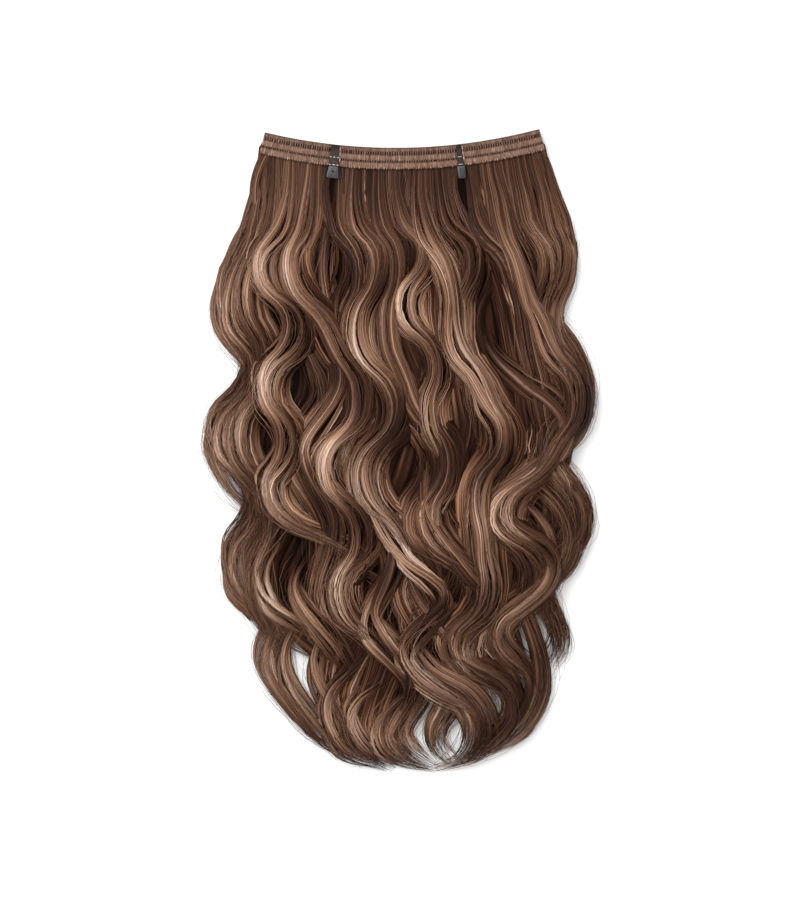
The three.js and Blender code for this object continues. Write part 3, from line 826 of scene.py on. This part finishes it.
def threads(start, end, half, arch, tone):
    """Short rounded threads from start to end points, arched between them."""
    count = len(start)
    even = np.linspace(0, 1, THREAD_STEPS)
    bow = np.sin(math.pi * even).clip(0, 1)
    centres = lerp(start[:, None], end[:, None], even[:, None])
    centres[..., 2] += arch * bow
    travel = unit((end - start)[:, :2])
    across = with_z(pairs(-travel[:, 1], travel[:, 0]), 0.0)
    across = np.repeat(across[:, None], THREAD_STEPS, axis=1)
    thick = np.full((count, 1), half) * lerp(0.4, 1, np.sqrt(bow))
    rings = swept(centres, across, thick, round_profile(THREAD_SIDES))
    pitch, length = 3.7, 2.0
    marks = pairs(each(np.arange(count) * pitch), even * length)
    # painted light and shade: lighter at a thread's middle, where it arches up, darker at its ends
    shade = np.reshape(tone, (-1, 1, 1)) + 0.08 * (bow[:, None] - 0.6)
    return closed_bodies(rings, shade, marks[:, :, None])


def stitch_row(row, rng):
    """One row of stitches along the band, apart from where the tapes lie."""
    (from_radius, from_height), (to_radius, to_height) = row["start"], row["end"]
    count = int(BAND_WIDTH / STITCH_PITCH)
    place = np.arange(count) + 0.5 + rng.normal(0, row["unevenness"], count)
    angle = lerp(ARC_FROM, ARC_TO, place / count)
    seen = rng.random(count) >= row["missing"]
    for clip in CLIPS.values():
        away = np.abs(angle - arc_angle(clip["along"], STRAP_RADII[0])) * from_radius
        seen &= away > max(clip["strap"]) / 2
    angle = angle[seen]
    count = len(angle)
    start = with_z(arc_point(from_radius + rng.normal(0, 0.08, count), angle), from_height)
    to_radius = to_radius + rng.normal(0, 2 * row["unevenness"], count)
    end = with_z(arc_point(to_radius, angle + row["slant"] / from_radius), to_height)
    tone = row["tone"] + rng.normal(0, row["tone_spread"], count)
    return threads(start, end, row["half"], row["arch"], tone)


# Clips

def clip_point(clip, sideways, radius, height):
    """Points beside the line on which a tape and its tab lie."""
    angle = arc_angle(clip["along"], STRAP_RADII[0])
    flat = arc_point(radius, angle) + np.asarray(sideways)[..., None] * (math.cos(angle), math.sin(angle))
    return with_z(flat, height)


def tape_arrays(clip, rng):
    """A woven tape: fine cords along it, raised by the threads across, and dark towards its upper end."""
    even = np.linspace(0, 1, TAPE_STEPS)
    radius = lerp(*STRAP_RADII, even)
    low, high = STRAP_HEIGHTS
    centres = clip_point(clip, np.zeros(TAPE_STEPS), radius, low)[None]
    across = clip_point(clip, np.ones(TAPE_STEPS), radius, low) - centres
    uneven = 1 + 0.03 * np.sin(even * 150)
    half = (lerp(*clip["strap"], even) / 2 * uneven)[None]
    places = np.linspace(0.94, -0.94, TAPE_CORDS)
    raised = np.arange(TAPE_CORDS) % 2
    crown = 0.86 + 0.10 * raised - 0.12 * places ** 4
    profile = np.vstack([[1.0, 0.1], pairs(places, crown), [-1.0, 0.1]])[None]
    weave = (high - low) * (1 + 0.10 * np.sin(np.arange(TAPE_STEPS) * math.pi / 2))
    rings = swept(centres, across, half, profile, tall=weave[None, :, None, None])
    sides = profile.shape[1]
    tone = lerp(0.16, clip["tone"] + 0.07, smoothstep(0.1, 0.4, even))[:, None]
    # painted light and shade: the raised cords lighter, the cords between them darker
    tone = tone + 0.07 * np.cos(math.pi * np.arange(sides))
    tone = tone + rng.normal(0, 0.11, (TAPE_STEPS, sides))
    marks = pairs(profile[0, :, 0] * 3, radius[:, None])[None]
    return closed_bodies(rings, tone[None], marks)


def white_stitches(clip, radius, rng):
    """A row of white stitches across a tape."""
    count = clip["stitches"]
    room = np.interp(radius, STRAP_RADII, clip["strap"]) / count
    reach = 0.38 * room
    height = STRAP_HEIGHTS[1] + 0.05
    places = (np.arange(count) - (count - 1) / 2) * room + rng.normal(0, 0.15, count)
    start = clip_point(clip, places - reach, radius + rng.normal(0, 0.12, count), height)
    end = clip_point(clip, places + reach, radius + 0.25 + rng.normal(0, 0.12, count), height)
    tone = 0.84 + rng.normal(0, 0.05, count)
    return threads(start, end, half=0.32, arch=0.25, tone=tone)


def edge_thread(clip):
    """The light thread down the right edge of a tape, in three stitches."""
    radii = np.array([393.6, 397.2, 400.8])
    length = 3.9
    side = np.interp(radii, STRAP_RADII, clip["strap"]) / 2
    start = clip_point(clip, side + 0.45, radii, 8.3)
    end = clip_point(clip, side + 0.62, radii + length, 8.5)
    return threads(start, end, half=0.38, arch=0.15, tone=np.full(len(radii), 0.8))


def plate_outline(top, end, length, inset):
    """The outline of a tapered plate, from the middle of its lower end, counter-clockwise from above."""
    half_top, half_end = top / 2 - inset, end / 2 - inset
    corner = max(TAB_CORNER - inset, 0.15)
    turns = np.linspace(0, math.pi / 2, 5)
    lower = pairs(half_end - corner + corner * np.sin(turns),
                  -length + inset + corner - corner * np.cos(turns))
    upper = np.array([[half_top, -inset - 0.3], [half_top - 0.3, -inset]])
    right = np.concatenate([lower, upper])
    return np.concatenate([right, right[::-1] * (-1, 1)])


def tab_arrays(clip):
    """A pressed tab: a tapered plate with rounded edges, darker towards its lower end."""
    start = STRAP_RADII[1] + TAB_GAP
    length = clip["tab_length"]
    rings = []
    for height, inset, _ in TAB_LEVELS:
        outline = plate_outline(*clip["tab"], length, inset)
        rings.append(clip_point(clip, outline[:, 0], start - outline[:, 1], height))
    rings = np.array(rings)[None]
    lower = outline[:, 1] < -0.6 * length
    # the levels' tones paint shade on the underside and a highlight on the bevel
    tone = clip["tone"] + np.array(TAB_LEVELS)[:, 2:] - 0.1 * lower
    around = np.arange(rings.shape[2]) * 1.2
    up = np.arange(len(TAB_LEVELS))[:, None] * 0.8
    marks = pairs(around, up)
    return closed_bodies(rings, tone, marks[None])


def dash_arrays(clip):
    """The short dark dash across the middle of a tab: painted shade that stands in for its slot."""
    start = clip_point(clip, [-DASH["half_length"]], DASH["radius"], DASH["height"])
    end = clip_point(clip, [DASH["half_length"]], DASH["radius"] + DASH["slant"], DASH["height"])
    return threads(start, end, half=DASH["half"], arch=0.0, tone=[DASH["tone"]])


# Materials

def node_material(name):
    material = bpy.data.materials.new(name)
    material.use_nodes = True
    tree = material.node_tree
    return material, tree, tree.nodes["Principled BSDF"]


def fill_inputs(node, inputs):
    """Sets each named input of a node to a value, or links it to another node's output."""
    for name, value in inputs.items():
        if isinstance(value, bpy.types.NodeSocket):
            node.id_data.links.new(value, node.inputs[name])
        else:
            node.inputs[name].default_value = value


def new_node(tree, kind, inputs, **settings):
    node = tree.nodes.new(f"ShaderNode{kind}")
    for name, value in settings.items():
        setattr(node, name, value)
    fill_inputs(node, inputs)
    return node


def ramp(tree, tone, colours):
    """The colour for a tone, by even steps from the first colour to the last."""
    node = new_node(tree, "ValToRGB", {"Fac": tone})
    while len(node.color_ramp.elements) < len(colours):
        node.color_ramp.elements.new(0.5)
    for number, (element, colour) in enumerate(zip(node.color_ramp.elements, colours)):
        element.position = number / (len(colours) - 1)
        element.color = linear(colour)
    return node.outputs["Color"]


def streaks(tree, scale, detail):
    """Noise in the strands' own layout, in millimetres across and along them."""
    layout = new_node(tree, "UVMap", {}, uv_map="strand")
    mapping = new_node(tree, "Mapping", {"Vector": layout.outputs["UV"], "Scale": (*scale, 1)})
    noise = new_node(tree, "TexNoise", {"Vector": mapping.outputs["Vector"], "Scale": 1, "Detail": detail})
    return noise.outputs["Fac"]


def spread_about(tree, noise, amount, base):
    """base, and more or less than it where the noise is over or under a half."""
    centred = new_node(tree, "Math", {0: noise, 1: 0.5}, operation="SUBTRACT")
    added = new_node(tree, "Math", {0: centred.outputs[0], 1: amount, 2: base}, operation="MULTIPLY_ADD")
    return added.outputs[0]


def map_range(tree, noise, low, high):
    """From low to high over the middle of the noise's range."""
    middle = {"From Min": 0.3, "From Max": 0.7}
    node = new_node(tree, "MapRange", {"Value": noise, **middle, "To Min": low, "To Max": high})
    return node.outputs["Result"]


def colour_of(tree, tone, look):
    """The look's colour for a tone. With cool colours too, it wanders between both from strand to strand."""
    picked = ramp(tree, tone, look["colours"])
    if "cool" not in look:
        return picked
    cooler = ramp(tree, tone, look["cool"])
    wander = map_range(tree, streaks(tree, (0.22, 0.006), 1), 0, 1)
    blend = new_node(tree, "Mix", {"Factor": wander, "A": picked, "B": cooler}, data_type="RGBA")
    return blend.outputs["Result"]


def toned_material(look):
    """A material whose colour follows each piece's tones, with fine and broad streaks of its own."""
    material, tree, shader = node_material(look["name"])
    tone = new_node(tree, "Attribute", {}, attribute_name="tone").outputs["Fac"]
    fine = streaks(tree, look["fine"], 3)
    broad = streaks(tree, look["broad"], 2)
    for noise, amount in zip((fine, broad), look["amounts"]):
        tone = spread_about(tree, noise, amount, tone)
    bump = new_node(tree, "Bump", {"Height": fine, "Strength": 0.5, "Distance": look["bump"] * MM})
    fill_inputs(shader, {
        "Base Color": colour_of(tree, tone, look), "Normal": bump.outputs["Normal"],
        "Roughness": map_range(tree, fine, *look["roughness"]),
        "Specular IOR Level": look["specular"], "Metallic": look["metallic"],
    })
    return material


# Stage

def camera():
    data = bpy.data.cameras.new("camera")
    data.lens = LENS_MM
    data.sensor_width = SENSOR_MM
    x, y = FRAME_CENTRE_MM
    distance = FRAME_HIGH_PX * MM_PER_PX * MM * LENS_MM / SENSOR_MM
    place = (x * MM, y * MM, distance + SIZED_HEIGHT_MM * MM)
    bpy.context.scene.camera = add_object("camera", data, place)


def area_light(name, place, size, power):
    """A square light that faces the weft's middle, in metres and watts."""
    data = bpy.data.lights.new(name, "AREA")
    data.size = size
    data.energy = power
    item = add_object(name, data, place)
    item.rotation_euler = (-item.location).to_track_quat("-Z", "Y").to_euler()


def studio():
    """A white surface under even light, with a stronger light from the upper left."""
    world = bpy.data.worlds.new("studio")
    bpy.context.scene.world = world
    world.use_nodes = True
    fill_inputs(world.node_tree.nodes["Background"], {"Color": (1, 1, 1, 1), "Strength": 0.7})
    area_light("key", place=(-0.7, 0.75, 1.6), size=1.3, power=34)
    area_light("fill", place=(1.2, -0.6, 1.6), size=1.2, power=10)
    bpy.context.scene.view_settings.view_transform = "Standard"
    bpy.ops.mesh.primitive_grid_add(x_subdivisions=4, y_subdivisions=4, size=6)
    floor = bpy.context.object
    floor.name = "floor"
    material, _, shader = node_material("floor")
    fill_inputs(shader, {"Base Color": (0.94, 0.94, 0.94, 1), "Roughness": 0.9})
    floor.data.materials.append(material)


camera()
studio()
rng = np.random.default_rng(SEED)
materials = {look["name"]: toned_material(look) for look in LOOKS}

rooted = with_room(ROOTED_LOCKS)
rooted[0]["outer"], rooted[-1]["outer"] = -1, 1
rooted[-1]["shine"] = RIGHT_EDGE_SHINE
edges = [{**lock, **EDGE_HABIT, "outer": math.copysign(1, lock["path"][0][0])} for lock in EDGE_LOCKS]
outermost = [*rooted[:2], *rooted[-2:], *edges]
filling = [beside(lock, -BESIDE_SHIFT) for lock in rooted[BESIDE_EDGE:]]
filling += [beside(lock, BESIDE_SHIFT) for lock in rooted[:-BESIDE_EDGE]]
half_filling = len(filling) // 2


def hair_piece(name, make, kind, locks, material="hair"):
    """A piece with the wisps or the single hairs of several locks."""
    parts = [make(lock, kind, rng) for lock in locks]
    mesh_piece(name, parts, materials[material], "hair", "hair_fall")


# The locks are shared out, so that no piece has too many triangles
hair_piece("hair_left", wisps_of, FRONT, rooted[:5])
hair_piece("hair_middle", wisps_of, FRONT, rooted[5:9])
hair_piece("hair_right", wisps_of, FRONT, rooted[9:])
hair_piece("hair_tips_left", wisps_of, LOWER, LOWER_LOCKS[:12])
hair_piece("hair_tips_right", wisps_of, LOWER, LOWER_LOCKS[12:])
hair_piece("hair_edges", wisps_of, LOWER, edges)
hair_piece("hair_loose", hairs_of, LOOSE, rooted)
hair_piece("hair_ends", hairs_of, ENDS, rooted + LOWER_LOCKS)
hair_piece("hair_strays", hairs_of, STRAYS, outermost)
hair_piece("hair_strays_low", hairs_of, LOW_STRAYS, LOWER_LOCKS)
mesh_piece("hair_pad", [pad_arrays(rooted, rng)], materials["hair_shade"], "hair", "hair_fall")
hair_piece("hair_filling_a", wisps_of, BESIDE, filling[:half_filling], "hair_shade")
hair_piece("hair_filling_b", wisps_of, BESIDE, filling[half_filling:], "hair_shade")
hair_piece("hair_backing", wisps_of, BACKING, BACKING_LOCKS, "hair_shade")

for node, section in TRACKS.items():
    mesh_piece(f"{node}_sewn", [track_arrays(section, rng)], materials["thread"], "track", node)
stitches = [stitch_row(row, rng) for row in STITCHES] + [edge_thread(clip) for clip in CLIPS.values()]
mesh_piece("band_stitches", stitches, materials["thread"], "track")
for side, clip in CLIPS.items():
    woven = [tape_arrays(clip, rng), *(white_stitches(clip, radius, rng) for radius in STRAP_STITCH_RADII)]
    mesh_piece(f"tape_{side}", woven, materials["tape"], "tape", f"clip_strap_{side}")
    mesh_piece(f"tab_{side}", [tab_arrays(clip)], materials["satin_grey"], "tab", f"clip_tab_{side}")
mesh_piece("tab_dash", [dash_arrays(CLIPS["left"])], materials["tape"], "tab")
